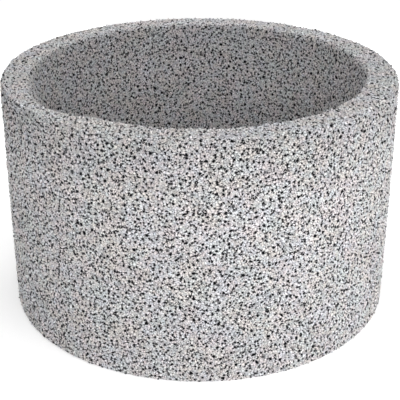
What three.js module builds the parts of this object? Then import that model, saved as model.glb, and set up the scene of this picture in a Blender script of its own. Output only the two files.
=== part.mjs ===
// A concrete culvert ring: one short length of thick-walled precast pipe with plain ends.
//
// It stands on its end. Millimetres, +Z up. The axis of the bore is Z, and the origin is where
// that axis meets the ground that the ring stands on.
//
// The ring is cast in one piece, so it is one solid: its wall's section, turned once round the
// axis. The section is a tall rectangle with its four corners rounded, each by its own radius,
// because the arrises that are struck off by hand at the open end of the mould are softer than
// the ones that the mould's base ring forms.

import * as THREE from "three";

// Sizes of the casting.
const outerDiameter = 1000;
const wallThickness = 80;
const ringHeight = 610;

// Rounding of the four arrises, as radii.
const rimOuterRounding = 16;
const rimInnerRounding = 12;
const footOuterRounding = 7;
const footInnerRounding = 5;

// Facets: how many go round the ring, and the widest turn one of them takes round an arris.
const facetsRound = 120;
const widestArrisTurn = Math.PI / 10;

// Washed concrete: pale grey, dull, no metal in it.
const concreteMaterial = new THREE.MeshStandardMaterial({
  color: 0xa8a6a3,
  roughness: 0.9,
  metalness: 0,
});

const outerRadius = outerDiameter / 2;
const boreRadius = outerRadius - wallThickness;

// A quarter-round corner of the section, as points (distance from the axis, height). Its centre is
// at (radius, height), and it turns left through a right angle from the direction of startAngle.
function arris(radius, height, rounding, startAngle) {
  const quarterTurn = Math.PI / 2;
  const steps = Math.ceil(quarterTurn / widestArrisTurn);
  const points = [];
  for (let step = 0; step <= steps; step += 1) {
    const angle = startAngle + (quarterTurn * step) / steps;
    const x = radius + rounding * Math.cos(angle);
    const y = height + rounding * Math.sin(angle);
    points.push(new THREE.Vector2(x, y));
  }
  return points;
}

// The wall's section, from the foot's outer arris up the outside, over the rim, down the bore and
// back along the foot to the point where it started. Straight lines join the four corners.
function wallSection() {
  const corners = [
    arris(outerRadius - footOuterRounding, footOuterRounding, footOuterRounding, -Math.PI / 2),
    arris(outerRadius - rimOuterRounding, ringHeight - rimOuterRounding, rimOuterRounding, 0),
    arris(boreRadius + rimInnerRounding, ringHeight - rimInnerRounding, rimInnerRounding, Math.PI / 2),
    arris(boreRadius + footInnerRounding, footInnerRounding, footInnerRounding, Math.PI),
  ];
  const section = corners.flat();
  section.push(section[0].clone());
  return section;
}

// The casting: the section turned round the axis. A lathe turns about Y, so it is stood up on Z.
function castRing() {
  const geometry = new THREE.LatheGeometry(wallSection(), facetsRound);
  geometry.rotateX(Math.PI / 2);
  const mesh = new THREE.Mesh(geometry, concreteMaterial);
  mesh.name = "culvert_ring";
  return mesh;
}

const culvertRing = new THREE.Group();
culvertRing.add(castRing());

export default culvertRing;
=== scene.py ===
"""The looks of the concrete culvert ring: washed concrete, its grit modelled chip by chip.

The ring is one casting. Its mortar is one closed mesh, turned from the section of the CAD node and
sunk a little under it. The grit that the washing laid bare stands in it as small angular chips,
with one joined mesh for each kind of stone. The rim's inner arris is worn back at the front left,
and mortar and grit follow it there. Lengths are in metres, in the frame of the CAD.
"""

import math

import bpy
import numpy as np
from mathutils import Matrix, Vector
from mathutils.kdtree import KDTree


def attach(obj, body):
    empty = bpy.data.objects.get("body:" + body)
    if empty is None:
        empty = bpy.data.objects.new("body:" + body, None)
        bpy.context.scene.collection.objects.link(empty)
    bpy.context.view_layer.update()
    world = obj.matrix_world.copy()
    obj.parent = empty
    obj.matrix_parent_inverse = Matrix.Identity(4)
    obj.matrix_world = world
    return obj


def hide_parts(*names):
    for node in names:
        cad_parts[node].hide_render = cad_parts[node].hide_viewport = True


MM = 0.001

# How near to a face of the CAD node a corner counts as on it.
ON_FACE = 0.1 * MM

# The mortar: how far the washing took it back under the cast surface, and how soon above the
# ground it gets there, because the mould's base ring kept the foot.
WASH_DEPTH = 1.7 * MM
WASH_STARTS = 1.0 * MM
WASH_FULL = 7.0 * MM

# The mesh of the mortar: its columns round the ring, and how far apart its rows are on the flats
# and on the arrises.
MORTAR_COLUMNS = 360
MORTAR_ROW = 20 * MM
ARRIS_ROW = 2.5 * MM

# The slow waves of a surface cast against a thin steel mould: how many, the most lobes that one
# has round the ring, the shortest along the section, and their height all together.
SWELL_WAVES = 30
SWELL_LOBES = 14
SWELL_LENGTH = 0.22
SWELL_HEIGHT = 0.5 * MM
SWELL_SEED = 3

# Where the rim's inner arris is worn away: the azimuth of the middle of each place, about half its
# length, and the width that the rim lost there. The bore's wall lost WORN_SLOPE times as much.
WORN = (
    (math.radians(-52), math.radians(11), 30 * MM),
    (math.radians(-72), math.radians(18), 14 * MM),
)
WORN_SLOPE = 1.3
WORN_SOFT = 6 * MM  # how softly the wear runs out into the sound surface
WORN_REACH = 65 * MM  # how far from the arris the mesh has the finer rows of WORN_ROW
WORN_ROW = 4 * MM
WORN_WAVES = 24  # the ragged edge of the wear all round: its waves, their lobes and their height
WORN_LOBES = (2, 40)
WORN_EVERYWHERE = 2.5 * MM

# The grit, coarse to fine: the radius of a chip's place, how many darts a round throws to seek
# such places, and how many rounds there are.
GRADING = (
    (3.7 * MM, 2500, 1),
    (3.0 * MM, 3000, 1),
    (2.6 * MM, 14000, 2),
    (2.25 * MM, 20000, 3),
    (1.95 * MM, 30000, 4),
    (1.6 * MM, 30000, 6),
)
CELL = 0.8 * MM  # the side of a cell of the raster on which places are sought
CHIP_STEP = 0.5 * MM  # the step of the section on which the chips are laid
CHIP_CORNERS = 6  # joined by CHIP_FACES
CROWD = 40  # how many of the chips nearest to a chip are looked up
NEIGHBOURS = 9  # how many of them it may meet
CHIP_REACH = 1.9  # the farthest corner of a chip, of its place's radius
CHIP_JOINT = 0.35 * MM  # half the gap between a chip and its neighbour
CHIP_TURN = 0.4  # how far a corner strays from its even place round the chip, in radians
CHIP_DRAWN = (0.8, 1.0)  # how much of its room a corner is drawn out to
CHIP_SUNK = 0.4 * MM  # how deep a chip is sunk in the mortar
CHIP_PROUD = (0.9 * MM, 4.5 * MM)  # how high the lowest and the highest chips stand out of it
CHIP_RARITY = 4  # the power that makes the highest chips few
CHIP_TILT = 0.35 * MM  # how much higher or lower one proud corner is than its chip
BLACK_PROUD = 0.65  # how proud the black chips stand, of what the others do
FLOOR_GAP = 0.2 * MM  # the lowest chips stop this far above the ground

# Kinds of stone in the grit, dark to pale: share of the chips, darkest and palest colour, roughness.
STONES = {
    "black": (0.22, (0.002, 0.002, 0.003), (0.008, 0.008, 0.010), 0.75),
    "slate": (0.045, (0.03, 0.031, 0.033), (0.14, 0.141, 0.145), 0.75),
    "grey": (0.065, (0.47, 0.468, 0.468), (0.60, 0.597, 0.597), 0.8),
    "blue": (0.06, (0.63, 0.645, 0.67), (0.735, 0.751, 0.78), 0.8),
    "rose": (0.12, (0.73, 0.70, 0.695), (0.84, 0.81, 0.805), 0.8),
    "buff": (0.16, (0.73, 0.715, 0.70), (0.84, 0.825, 0.81), 0.8),
    "pale": (0.16, (0.73, 0.725, 0.728), (0.84, 0.835, 0.838), 0.8),
    "white": (0.17, (0.88, 0.875, 0.877), (0.95, 0.945, 0.947), 0.75),
}
BLACK = list(STONES).index("black")
STONE_SEED = 7
RIVALS = 6  # how many of the nearest chips a chip's stone is chosen to differ from
RIVALRY = 0.8  # how much it differs from them
EVENNESS = 0.8  # how much paler it is for the darkest chips' share of the crowd round it
COARSE = 0.6  # how much the size of a chip has to do with how dark it is
RIM_PALER = 0.10  # how much it is paler on the rim
FACES_UP = 0.5  # how much a surface faces up, from 0 to 1, above which it counts as the rim
UV_SPREAD = 0.3  # how far a face's corners lie from the middle of its chip's cell of the UV map

# Crystals in a stone: their size, and how much they darken or lighten it, by share.
CRYSTAL_SIZE = 3.0 * MM
CRYSTAL_TONES = ((0.0, 0.60), (0.3, 0.84), (0.7, 1.0), (1.0, 1.06))

# The finish of the surfaces. The grain of a stone is the size, detail and roughness of its noise,
# and a bump is its depth and strength.
STONE_SPECULAR = 0.1
STONE_GRAIN = (0.7 * MM, 3, 0.6)
STONE_BUMP = (0.25 * MM, 0.5)
MORTAR_ROUGHNESS = 0.92
MORTAR_SPECULAR = 0.25
MORTAR_BUMP = (2.0 * MM, 0.8)

# Sand in the mortar, which is texture: the size of a grain, the dark colour between the grains, which is
# painted shade, how a grain takes over from it inside its edge, and the tones of the grains by share.
SAND_SIZE = 2.6 * MM
SAND_GAP_SHADE = (0.14, 0.138, 0.14, 1)
SAND_EDGE = ((0.02, (0, 0, 0)), (0.10, (1, 1, 1)))
SAND_TONES = (
    (0.0, (0.012, 0.012, 0.013)),
    (0.2, (0.012, 0.012, 0.013)),
    (0.21, (0.30, 0.297, 0.30)),
    (0.35, (0.46, 0.455, 0.46)),
    (0.65, (0.64, 0.63, 0.637)),
    (1.0, (0.92, 0.905, 0.915)),
)

# The weather: the size, detail and roughness of the patches that it leaves, and the tints of the
# two patterns of them, warm to cool and pink to green.
PATCH_NOISE = (0.06, 3, 0.95)
PATCH_TINTS = (
    ((0.42, (0.99, 0.950, 0.935)), (0.58, (0.925, 0.965, 0.985))),
    ((0.42, (0.985, 0.965, 0.995)), (0.58, (0.97, 0.975, 0.955))),
)

# Painted shade in a band at the top, which darkens the upper wall and the outer arris, and the flat of
# the rim a little: its height, and its tones from its lower edge, 0, to the flat of the rim, 1.
SHADE_BAND_HEIGHT = 0.16
SHADE_BAND_TONES = ((0.0, 1.0), (0.925, 0.81), (0.966, 0.81), (0.989, 0.95))

# The camera, from the photograph: its pitch, its lens, and where the middle of the ring lies
# from it, in outer radii, to the right, up and away.
CAMERA_PITCH = math.radians(25.33)
SENSOR = 36.0
LENS = 88.39
RING_RIGHT, RING_UP, RING_AWAY = -0.0021, 0.1217, 5.2562

# The studio. Far from the ring the floor glows to the camera by what it lacks of white in the
# world's light alone, so it is white to the horizon. Near the ring it glows less, so that the
# shadow shows there in spite of the lamps.
WORLD_STRENGTH = 0.60
FLOOR_SIZE = 14.0
FLOOR_COLOUR = 0.8
FLOOR_ROUGHNESS = 0.9
FLOOR_GLOW_FAR = 1 - FLOOR_COLOUR * WORLD_STRENGTH
FLOOR_GLOW_NEAR = 0.38
FLOOR_FADE = (0.5, 1.6)  # the distances from the axis between which the glow grows

# The soft boxes: azimuth from the camera's side, growing to the right, and elevation, in degrees,
# then distance, side and power. All look at one point of the axis.
LAMPS = {
    "key": (30, 40, 2.6, 1.2, 15.2),
    "front": (-5, 18, 2.6, 1.2, 24.0),
    "side": (60, 0, 1.7, 0.5, 7.0),
    "back": (180, 50, 1.4, 0.6, 4.5),
    "rear": (180, 5, 2.6, 1.2, 20.0),
}
LAMPS_LOOK_AT = Vector((0, 0, 0.3))


def node_sizes(node):
    """The ring's radii, height and arris roundings, from the corners of its CAD node."""
    mesh = node.data
    corners = np.empty(len(mesh.vertices) * 3)
    mesh.vertices.foreach_get("co", corners)
    x, y, z = corners.reshape(-1, 3).T
    radius = np.hypot(x, y)
    outer, bore, height = float(radius.max()), float(radius.min()), float(z.max())
    outside = z[radius > outer - ON_FACE]
    inside = z[radius < bore + ON_FACE]
    return {
        "outer": outer,
        "bore": bore,
        "height": height,
        "foot_outer": float(outside.min()),
        "rim_outer": height - float(outside.max()),
        "rim_inner": height - float(inside.max()),
        "foot_inner": float(inside.min()),
    }


def section_path(ring, arris_step, wall_step, closed):
    """Points along the wall's section, as rows of distance from the axis, height, and the two parts
    of the way the surface faces. It runs up the outside, over the rim and down the bore, and
    closed adds the foot's flat."""
    corners = (
        (ring["outer"], 0, "foot_outer", -1, 1, -math.pi / 2),
        (ring["outer"], ring["height"], "rim_outer", -1, -1, 0),
        (ring["bore"], ring["height"], "rim_inner", 1, -1, math.pi / 2),
        (ring["bore"], 0, "foot_inner", 1, 1, math.pi),
    )
    arcs = []
    for radius, height, name, inward, upward, start in corners:
        rounding = ring[name]
        steps = math.ceil(rounding * math.pi / 2 / arris_step)
        turn = start + np.linspace(0, math.pi / 2, steps + 1)
        across, up = np.cos(turn), np.sin(turn)
        centre_r = radius + inward * rounding
        centre_z = height + upward * rounding
        arcs.append(np.column_stack((centre_r + rounding * across, centre_z + rounding * up, across, up)))
    rows = []
    for number, arc in enumerate(arcs):
        rows.append(arc)
        if number < len(arcs) - 1 or closed:
            after = arcs[(number + 1) % len(arcs)][0]
            gap = math.dist(arc[-1, :2], after[:2])
            steps = max(1, round(gap / wall_step))
            rows.append(np.linspace(arc[-1], after, steps + 1)[1:-1])
    return np.concatenate(rows)


def along(path):
    """The distance of each point of a path from its first, measured along it."""
    steps = np.hypot(*np.diff(path[:, :2], axis=0).T)
    return np.concatenate(([0], np.cumsum(steps)))


def wrapped(angle):
    """An angle brought to within half a turn either way of 0."""
    return (angle + math.pi) % (2 * math.pi) - math.pi


def worn_width(angle):
    """How much of the rim's width its inner arris has lost: a little all round, and more in the
    places of WORN."""
    rng = np.random.default_rng(SWELL_SEED)
    width = np.zeros(np.shape(angle))
    for lobes in rng.integers(*WORN_LOBES, WORN_WAVES):
        width += np.cos(lobes * angle + rng.uniform(0, 2 * math.pi))
    width *= WORN_EVERYWHERE / math.sqrt(WORN_WAVES)
    for azimuth, half_length, lost in WORN:
        apart = wrapped(angle + math.pi / 2 - azimuth)
        width += lost * np.exp(-0.5 * (apart / half_length) ** 2)
    return width


def surface(ring, path, angle, distance):
    """The surface at some angles round the ring and distances along its section, after the wear of
    its inner arris: distance from the axis, height, and the two parts of the way it faces."""
    radius, height, across, up = (np.interp(distance, along(path), column) for column in path.T)
    depth = worn_width(angle) - (radius - ring["bore"]) - (ring["height"] - height) / WORN_SLOPE
    soft = np.clip(depth / WORN_SOFT, -1, 1)
    cut = np.maximum(depth, WORN_SOFT * (soft + 1) ** 2 / 4) / (1 + 1 / WORN_SLOPE)
    share = (soft + 1) / 2
    tilt = math.atan2(1 / WORN_SLOPE, -1)
    across = across + share * (math.cos(tilt) - across)
    up = up + share * (math.sin(tilt) - up)
    length = np.hypot(across, up)
    return radius + cut, height - cut, across / length, up / length


def stand_off(angle, distance, height):
    """How far the mortar stands off the cast surface at some places: sunk by the washing, less
    towards the ground, with slow waves that close on themselves round the ring."""
    rng = np.random.default_rng(SWELL_SEED)
    swell = np.zeros(np.broadcast(angle, distance).shape)
    for _ in range(SWELL_WAVES):
        lobes = rng.integers(-SWELL_LOBES, SWELL_LOBES + 1)
        rate = rng.uniform(-1, 1) * 2 * math.pi / SWELL_LENGTH
        swell += np.cos(lobes * angle + rate * distance + rng.uniform(0, 2 * math.pi))
    swell *= SWELL_HEIGHT / math.sqrt(SWELL_WAVES)
    washed = np.clip((height - WASH_STARTS) / (WASH_FULL - WASH_STARTS), 0, 1)
    return (swell - WASH_DEPTH) * washed


def make_object(name, points, faces, smooth):
    """A mesh object from an array of points and one of faces that all have as many corners."""
    mesh = bpy.data.meshes.new(name)
    mesh.vertices.add(len(points))
    mesh.vertices.foreach_set("co", points.astype(np.float32).ravel())
    mesh.loops.add(faces.size)
    mesh.loops.foreach_set("vertex_index", faces.astype(np.int32).ravel())
    mesh.polygons.add(len(faces))
    mesh.polygons.foreach_set("loop_start", np.arange(0, faces.size, faces.shape[1], dtype=np.int32))
    mesh.polygons.foreach_set("use_smooth", np.full(len(faces), smooth))
    mesh.update(calc_edges=True)
    mesh.validate()
    piece = bpy.data.objects.new(name, mesh)
    bpy.context.scene.collection.objects.link(piece)
    return piece


def make_mortar(ring):
    """The casting itself, turned from its section and sunk where it was washed. Its rows are finer
    near the arris that is worn."""
    distances = []
    for wall_step, worn in ((MORTAR_ROW, False), (WORN_ROW, True)):
        path = section_path(ring, ARRIS_ROW, wall_step, closed=True)
        from_arris = np.hypot(path[:, 0] - ring["bore"], path[:, 1] - ring["height"])
        distances.append(along(path)[(from_arris < WORN_REACH) == worn])
    distance = np.sort(np.concatenate(distances))
    angle = np.arange(MORTAR_COLUMNS)[:, None] * 2 * math.pi / MORTAR_COLUMNS
    radius, height, across, up = surface(ring, path, angle, distance)
    off = stand_off(angle, distance, height)
    radius = radius + off * across
    height = np.maximum(height + off * up, 0)
    points = np.stack((radius * np.cos(angle), radius * np.sin(angle), height), axis=-1)
    columns, rows = off.shape
    column, row = np.meshgrid(np.arange(columns), np.arange(rows), indexing="ij")
    next_column, next_row = (column + 1) % columns, (row + 1) % rows
    faces = np.stack((
        column * rows + row,
        next_column * rows + row,
        next_column * rows + next_row,
        column * rows + next_row,
    ), axis=-1)
    return make_object("mortar", points.reshape(-1, 3), faces.reshape(-1, 4), smooth=True)


def find_places(path, rng):
    """Finds a place for each chip, as rows of angle, distance along the section, and radius.

    The washed surface is laid flat as a raster of cells that closes on itself round the ring. Each
    round throws darts at it. A dart that lands clear of the chips already placed keeps its place if
    no later dart of its round reaches into it, so no two places overlap."""
    distance = along(path)
    columns = round(2 * math.pi * path[:, 0].max() / CELL)
    rows = math.floor(distance[-1] / CELL)
    cell_angle = 2 * math.pi / columns
    taken = np.zeros(columns * rows, bool)
    owner = np.zeros(columns * rows, np.int32)
    places = []
    for radius, darts, rounds in GRADING:
        reach = math.ceil(radius / (path[:, 0].min() * cell_angle))
        step_across, step_along = np.meshgrid(np.arange(-reach, reach + 1), np.arange(-reach, reach + 1))
        step_across, step_along = step_across.ravel(), step_along.ravel()
        for _ in range(rounds):
            column = rng.integers(0, columns, darts)
            row = rng.integers(reach, rows - reach, darts)
            cell_width = np.interp(row * CELL, distance, path[:, 0]) * cell_angle
            span = np.hypot(step_across * cell_width[:, None], step_along * CELL)
            cells = (column[:, None] + step_across) % columns * rows + row[:, None] + step_along
            cells = np.where(span <= radius, cells, (column * rows + row)[:, None])
            free = ~taken[cells].any(axis=1)
            column, row, cells = column[free], row[free], cells[free]
            dart = np.arange(len(cells))[:, None]
            owner[cells] = dart
            kept = (owner[cells] == dart).all(axis=1)
            taken[cells[kept]] = True
            places.append(np.column_stack((
                (column[kept] + rng.uniform(0, 1, kept.sum())) * cell_angle,
                (row[kept] + rng.uniform(0, 1, kept.sum())) * CELL,
                np.full(kept.sum(), radius),
            )))
    return np.concatenate(places)


def stand(ring, path, angle, distance, lift):
    """Points that stand some lift off the mortar, in the ring's frame."""
    radius, height, across, up = surface(ring, path, angle, distance)
    off = lift + stand_off(angle, distance, height)
    radius = radius + off * across
    height = np.maximum(height + off * up, FLOOR_GAP)
    return np.stack((radius * np.cos(angle), radius * np.sin(angle), height), axis=-1)


def find_neighbours(spots):
    """The numbers of the chips nearest to each chip, nearest first."""
    tree = KDTree(len(spots))
    for number, spot in enumerate(spots):
        tree.insert(spot, number)
    tree.balance()
    return np.array([[number for _, number, _ in tree.find_n(spot, CROWD + 1)[1:]] for spot in spots])


def shape_chips(ring, path, places, near, kinds, rng):
    """The corners of every chip, sunk and proud in turn round it. Each is drawn out from the chip's
    place until it nearly meets a neighbour, so the chips fill the surface, none cuts into another,
    and no two are alike. A few chips stand high, and the black ones lie low, so that fewer of them
    show from the side."""
    angle, distance, size = places.T
    radius = np.interp(distance, along(path), path[:, 0])
    count = len(places)
    near = near[:, :NEIGHBOURS]
    turn = rng.uniform(0, 2 * math.pi, (count, 1)) + np.arange(CHIP_CORNERS) * 2 * math.pi / CHIP_CORNERS
    turn = turn + rng.uniform(-CHIP_TURN, CHIP_TURN, (count, CHIP_CORNERS))
    way = np.stack((np.cos(turn), np.sin(turn)), axis=-1)

    # The border with a neighbour is square to the line between the two places, and cuts that line
    # by their sizes. It doesn't hold back a corner that faces away from it.
    turned = wrapped(angle[near] - angle[:, None])
    apart = np.stack((turned * radius[:, None], distance[near] - distance[:, None]), axis=-1)
    share = size[:, None] / (size[:, None] + size[near])
    border = share * (apart ** 2).sum(axis=2)
    toward = np.maximum(way @ apart.transpose(0, 2, 1), np.finfo(float).eps)
    room = (border[:, None] / toward).min(axis=2)
    reach = np.minimum(room - CHIP_JOINT, CHIP_REACH * size[:, None])
    reach = reach * rng.uniform(*CHIP_DRAWN, (count, CHIP_CORNERS))

    low, high = CHIP_PROUD
    proud = low + (high - low) * rng.uniform(0, 1, (count, 1)) ** CHIP_RARITY
    proud[kinds == BLACK] *= BLACK_PROUD
    lift = np.full((count, CHIP_CORNERS), -CHIP_SUNK)
    lift[:, 1::2] = proud + rng.uniform(-CHIP_TILT, CHIP_TILT, (count, CHIP_CORNERS // 2))
    corner_angle = angle[:, None] + reach * way[..., 0] / radius[:, None]
    corner_distance = distance[:, None] + reach * way[..., 1]
    return stand(ring, path, corner_angle, corner_distance, lift)


def choose_stones(path, places, near, rng):
    """The kind of stone of each chip, and its tone within the kind. The coarse chips are darker and
    those of the rim paler. A chip tends to be unlike its nearest neighbours, and to be paler where
    the darkest kind is common round it."""
    size = places[:, 2]
    shade = rng.uniform(0, 1, len(near)) - COARSE * size / size.max()
    shade = shade - RIVALRY * shade[near[:, :RIVALS]].mean(axis=1)
    shares = np.array([share for share, *_ in STONES.values()])
    darkest = shade < np.quantile(shade, shares[BLACK])
    shade += EVENNESS * (darkest * (size / size.mean()) ** 2)[near].mean(axis=1)
    shade += RIM_PALER * np.interp(places[:, 1], along(path), path[:, 3] > FACES_UP)
    order = np.empty(len(near), int)
    order[np.argsort(shade)] = np.arange(len(near))
    ends = np.round(np.cumsum(shares) * len(near)).astype(int)
    kinds = np.searchsorted(ends, order, side="right")
    counts = np.diff(ends, prepend=0)
    tones = 1 - (ends[kinds] - order) / counts[kinds]
    return kinds, tones


# The eight faces of a chip: the sunk triangle, the proud one, and the six between them.
CHIP_FACES = np.array([
    [0, 4, 2], [1, 3, 5],
    [0, 2, 1], [2, 3, 1], [2, 4, 3], [4, 5, 3], [4, 0, 5], [0, 1, 5],
])


def make_grit(name, corners, tones):
    """One kind of stone: its chips joined in one mesh, each with its own tone, and with its own cell
    of the UV map OFBake."""
    count = len(corners)
    faces = (np.arange(count)[:, None, None] * CHIP_CORNERS + CHIP_FACES).reshape(-1, 3)
    piece = make_object("grit_" + name, corners.reshape(-1, 3), faces, smooth=False)
    tone = piece.data.attributes.new("tone", "FLOAT", "FACE")
    tone.data.foreach_set("value", np.repeat(tones, len(CHIP_FACES)).astype(np.float32))
    side = math.ceil(math.sqrt(count))
    cell = np.stack((np.arange(count) % side, np.arange(count) // side), axis=-1)
    turn = np.arange(3) * 2 * math.pi / 3
    spot = 0.5 + UV_SPREAD * np.stack((np.cos(turn), np.sin(turn)), axis=-1)
    uv = (cell[:, None, None] + np.broadcast_to(spot, (len(CHIP_FACES), 3, 2))) / side
    layer = piece.data.uv_layers.new(name="OFBake")
    layer.data.foreach_set("uv", uv.astype(np.float32).ravel())
    return piece


# Blender's Mix node has the sockets of all its data types at once. These are the colours'.
MIX_FIRST, MIX_SECOND, MIX_RESULT = 6, 7, 2
SORTS_APART = 10  # how far apart two sorts of noise are in its fourth dimension


class Nodes:
    """A short way to write a material's nodes."""

    def __init__(self, name):
        self.material = bpy.data.materials.new(name)
        self.material.use_nodes = True
        self.tree = self.material.node_tree
        self.shader = self.tree.nodes["Principled BSDF"]

    def add(self, kind, **values):
        node = self.tree.nodes.new("ShaderNode" + kind)
        for key, value in values.items():
            setattr(node, key, value)
        return node

    def link(self, source, target):
        self.tree.links.new(source, target)

    def place(self):
        """The place of a point in the ring's own space."""
        return self.add("TexCoord").outputs["Object"]

    def noise(self, size, detail, roughness, sort=0):
        """A noise pattern whose features are about size across. Another sort is another pattern,
        far off in the noise's fourth dimension."""
        node = self.add("TexNoise", noise_dimensions="4D")
        node.inputs["W"].default_value = SORTS_APART * sort
        node.inputs["Scale"].default_value = 1 / size
        node.inputs["Detail"].default_value = detail
        node.inputs["Roughness"].default_value = roughness
        self.link(self.place(), node.inputs["Vector"])
        return node.outputs["Fac"]

    def cells(self, size, feature):
        """Angular cells about size across."""
        node = self.add("TexVoronoi", feature=feature)
        node.inputs["Scale"].default_value = 1 / size
        self.link(self.place(), node.inputs["Vector"])
        return node.outputs

    def cell_number(self, size):
        """A random number for each cell."""
        split = self.add("SeparateColor")
        self.link(self.cells(size, "F1")["Color"], split.inputs["Color"])
        return split.outputs["Red"]

    def cell_edge(self, size):
        """How far inside its cell a point is."""
        return self.cells(size, "DISTANCE_TO_EDGE")["Distance"]

    def ramp(self, factor, *stops):
        """Colours that follow a factor, from (position, colour) stops."""
        node = self.add("ValToRGB")
        elements = node.color_ramp.elements
        while len(elements) < len(stops):
            elements.new(0.5)
        for element, (position, colour) in zip(elements, stops):
            element.position = position
            element.color = (*colour, 1)
        self.link(factor, node.inputs["Fac"])
        return node.outputs["Color"]

    def tones(self, factor, stops):
        """Greys that follow a factor, from (position, tone) stops."""
        return self.ramp(factor, *((position, (tone,) * 3) for position, tone in stops))

    def mix(self, factor, first, second, blend="MIX"):
        """Two colours mixed. The factor and the colours may be values or sockets."""
        node = self.add("Mix", data_type="RGBA", blend_type=blend)
        sockets = node.inputs["Factor"], node.inputs[MIX_FIRST], node.inputs[MIX_SECOND]
        for socket, value in zip(sockets, (factor, first, second)):
            if isinstance(value, bpy.types.NodeSocket):
                self.link(value, socket)
            else:
                socket.default_value = value
        return node.outputs[MIX_RESULT]

    def multiply(self, first, second):
        """One colour darkened by another."""
        return self.mix(1.0, first, second, "MULTIPLY")

    def weathered_and_shaded(self, colour, top):
        """The colour with what the weather does to the whole casting, slow warm and cool patches,
        and with a darker band below the top that is painted shade."""
        for sort, tints in enumerate(PATCH_TINTS):
            colour = self.multiply(colour, self.ramp(self.noise(*PATCH_NOISE, sort), *tints))
        # Painted shade: by height, the upper wall and the outer arris are darkened, and the flat of the
        # rim a little.
        split = self.add("SeparateXYZ")
        self.link(self.place(), split.inputs[0])
        shade_band = self.add("MapRange")
        self.link(split.outputs["Z"], shade_band.inputs["Value"])
        shade_band.inputs["From Min"].default_value = top - SHADE_BAND_HEIGHT
        shade_band.inputs["From Max"].default_value = top
        return self.multiply(colour, self.tones(shade_band.outputs["Result"], SHADE_BAND_TONES))

    def bump(self, height, depth, strength):
        """Relief too fine to model: depth deep, where height goes from 0 to 1."""
        node = self.add("Bump")
        node.inputs["Strength"].default_value = strength
        node.inputs["Distance"].default_value = depth
        self.link(height, node.inputs["Height"])
        self.link(node.outputs["Normal"], self.shader.inputs["Normal"])


def mortar_material(top):
    """Washed mortar: light grey, full of grains of sand too small to model with painted shade between
    them, slowly stained, and with painted shade in a band at the top.
    """
    nodes = Nodes("mortar")
    sand = nodes.ramp(nodes.cell_number(SAND_SIZE), *SAND_TONES)
    edge = nodes.cell_edge(SAND_SIZE)
    # Painted shade: the gaps between the sand grains are darkened.
    grains_and_gap_shade = nodes.mix(nodes.ramp(edge, *SAND_EDGE), SAND_GAP_SHADE, sand)
    nodes.link(nodes.weathered_and_shaded(grains_and_gap_shade, top), nodes.shader.inputs["Base Color"])
    nodes.shader.inputs["Roughness"].default_value = MORTAR_ROUGHNESS
    nodes.shader.inputs["Specular IOR Level"].default_value = MORTAR_SPECULAR
    nodes.bump(edge, *MORTAR_BUMP)
    return nodes.material


def stone_material(name, dark, pale, roughness, top):
    """One kind of stone: each chip has its own tone between the two colours, with crystals in it and
    a fine grain on it."""
    nodes = Nodes("stone_" + name)
    tone = nodes.add("Attribute", attribute_name="tone").outputs["Fac"]
    body = nodes.ramp(tone, (0.0, dark), (1.0, pale))
    crystals = nodes.tones(nodes.cell_number(CRYSTAL_SIZE), CRYSTAL_TONES)
    # The chips get the same painted shade below the top as the mortar.
    colour = nodes.weathered_and_shaded(nodes.multiply(body, crystals), top)
    nodes.link(colour, nodes.shader.inputs["Base Color"])
    nodes.shader.inputs["Roughness"].default_value = roughness
    nodes.shader.inputs["Specular IOR Level"].default_value = STONE_SPECULAR
    nodes.bump(nodes.noise(*STONE_GRAIN), *STONE_BUMP)
    return nodes.material


def dress(piece, material):
    """Gives a piece its material and ties it to the frame."""
    piece.data.materials.append(material)
    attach(piece, "root")


def make_ring(ring):
    """The mortar, which stands for the CAD node, and the grit in it."""
    mortar = make_mortar(ring)
    dress(mortar, mortar_material(ring["height"]))
    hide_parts("culvert_ring")

    rng = np.random.default_rng(STONE_SEED)
    path = section_path(ring, CHIP_STEP, CHIP_STEP, closed=False)
    places = find_places(path, rng)
    near = find_neighbours(stand(ring, path, places[:, 0], places[:, 1], 0))
    kinds, tones = choose_stones(path, places, near, rng)
    corners = shape_chips(ring, path, places, near, kinds, rng)
    for number, (name, (_, dark, pale, roughness)) in enumerate(STONES.items()):
        mine = kinds == number
        grit = make_grit(name, corners[mine], tones[mine])
        dress(grit, stone_material(name, dark, pale, roughness, ring["height"]))


def seen_as_background(tree):
    """A factor that is 1 to the camera, in reflections and through clear things, and 0 for the light
    that falls on the ring."""
    rays = tree.nodes.new("ShaderNodeLightPath")
    seen = rays.outputs["Is Camera Ray"]
    for kind in ("Is Glossy Ray", "Is Transmission Ray"):
        either = tree.nodes.new("ShaderNodeMath")
        either.operation = "MAXIMUM"
        tree.links.new(seen, either.inputs[0])
        tree.links.new(rays.outputs[kind], either.inputs[1])
        seen = either.outputs[0]
    return seen


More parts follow.
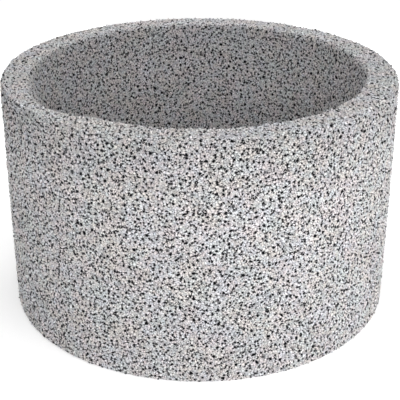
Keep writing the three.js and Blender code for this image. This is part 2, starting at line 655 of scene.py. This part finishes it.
def make_floor():
    """A plain pale floor that looks white to the camera and keeps the ring's shadow."""
    size = FLOOR_SIZE / 2
    points = np.array([(-size, -size, 0), (size, -size, 0), (size, size, 0), (-size, size, 0)], float)
    floor = make_object("floor", points, np.array([[0, 1, 2, 3]]), smooth=False)
    nodes = Nodes("floor")
    nodes.shader.inputs["Base Color"].default_value = (FLOOR_COLOUR, FLOOR_COLOUR, FLOOR_COLOUR, 1)
    nodes.shader.inputs["Roughness"].default_value = FLOOR_ROUGHNESS
    nodes.shader.inputs["Specular IOR Level"].default_value = 0.0
    nodes.shader.inputs["Emission Color"].default_value = (1, 1, 1, 1)
    from_axis = nodes.add("VectorMath", operation="LENGTH")
    nodes.link(nodes.place(), from_axis.inputs[0])
    glow = nodes.add("MapRange", interpolation_type="SMOOTHSTEP")
    nodes.link(from_axis.outputs["Value"], glow.inputs["Value"])
    glow.inputs["From Min"].default_value, glow.inputs["From Max"].default_value = FLOOR_FADE
    glow.inputs["To Min"].default_value = FLOOR_GLOW_NEAR
    glow.inputs["To Max"].default_value = FLOOR_GLOW_FAR
    shown = nodes.add("Math", operation="MULTIPLY")
    nodes.link(glow.outputs["Result"], shown.inputs[0])
    nodes.link(seen_as_background(nodes.tree), shown.inputs[1])
    nodes.link(shown.outputs[0], nodes.shader.inputs["Emission Strength"])
    floor.data.materials.append(nodes.material)


def make_world():
    """Soft light from all round, and a white background where only the background is seen."""
    world = bpy.data.worlds.new("studio")
    world.use_nodes = True
    bpy.context.scene.world = world
    tree = world.node_tree
    lit = tree.nodes["Background"]
    lit.inputs["Color"].default_value = (1, 1, 1, 1)
    lit.inputs["Strength"].default_value = WORLD_STRENGTH
    white = tree.nodes.new("ShaderNodeBackground")
    white.inputs["Color"].default_value = (1, 1, 1, 1)
    white.inputs["Strength"].default_value = 1.0
    mix = tree.nodes.new("ShaderNodeMixShader")
    tree.links.new(seen_as_background(tree), mix.inputs[0])
    tree.links.new(lit.outputs[0], mix.inputs[1])
    tree.links.new(white.outputs[0], mix.inputs[2])
    tree.links.new(mix.outputs[0], tree.nodes["World Output"].inputs["Surface"])


def add_lamp(name, azimuth, elevation, distance, size, power):
    """A square soft box that looks at the ring, and that the camera doesn't see."""
    data = bpy.data.lights.new(name, "AREA")
    data.shape = "SQUARE"
    data.size = size
    data.energy = power
    lamp = bpy.data.objects.new(name, data)
    lamp.visible_camera = False
    bpy.context.scene.collection.objects.link(lamp)
    turn, rise = math.radians(azimuth), math.radians(elevation)
    way = Vector((math.sin(turn) * math.cos(rise), -math.cos(turn) * math.cos(rise), math.sin(rise)))
    lamp.location = LAMPS_LOOK_AT + distance * way
    lamp.rotation_euler = (-way).to_track_quat("-Z", "Y").to_euler()


def make_camera(ring):
    """The camera at the photograph's angle and distance."""
    data = bpy.data.cameras.new("camera")
    data.sensor_width = SENSOR
    data.lens = LENS
    camera = bpy.data.objects.new("camera", data)
    bpy.context.scene.collection.objects.link(camera)
    right = Vector((1, 0, 0))
    up = Vector((0, math.sin(CAMERA_PITCH), math.cos(CAMERA_PITCH)))
    away = Vector((0, math.cos(CAMERA_PITCH), -math.sin(CAMERA_PITCH)))
    middle = Vector((0, 0, ring["height"] / 2))
    camera.location = middle - ring["outer"] * (RING_RIGHT * right + RING_UP * up + RING_AWAY * away)
    camera.rotation_euler = (math.pi / 2 - CAMERA_PITCH, 0, 0)
    bpy.context.scene.camera = camera


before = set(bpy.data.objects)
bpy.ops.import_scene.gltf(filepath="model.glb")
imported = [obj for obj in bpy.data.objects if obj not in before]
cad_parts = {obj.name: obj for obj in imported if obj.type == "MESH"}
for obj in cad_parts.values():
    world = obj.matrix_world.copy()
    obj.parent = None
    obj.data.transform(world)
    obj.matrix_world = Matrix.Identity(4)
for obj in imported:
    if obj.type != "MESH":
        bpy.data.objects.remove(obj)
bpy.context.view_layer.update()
sizes = node_sizes(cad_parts["culvert_ring"])
make_camera(sizes)
make_ring(sizes)
make_floor()
make_world()
for name, lamp in LAMPS.items():
    add_lamp(name, *lamp)
bpy.context.scene.view_settings.view_transform = "Standard"
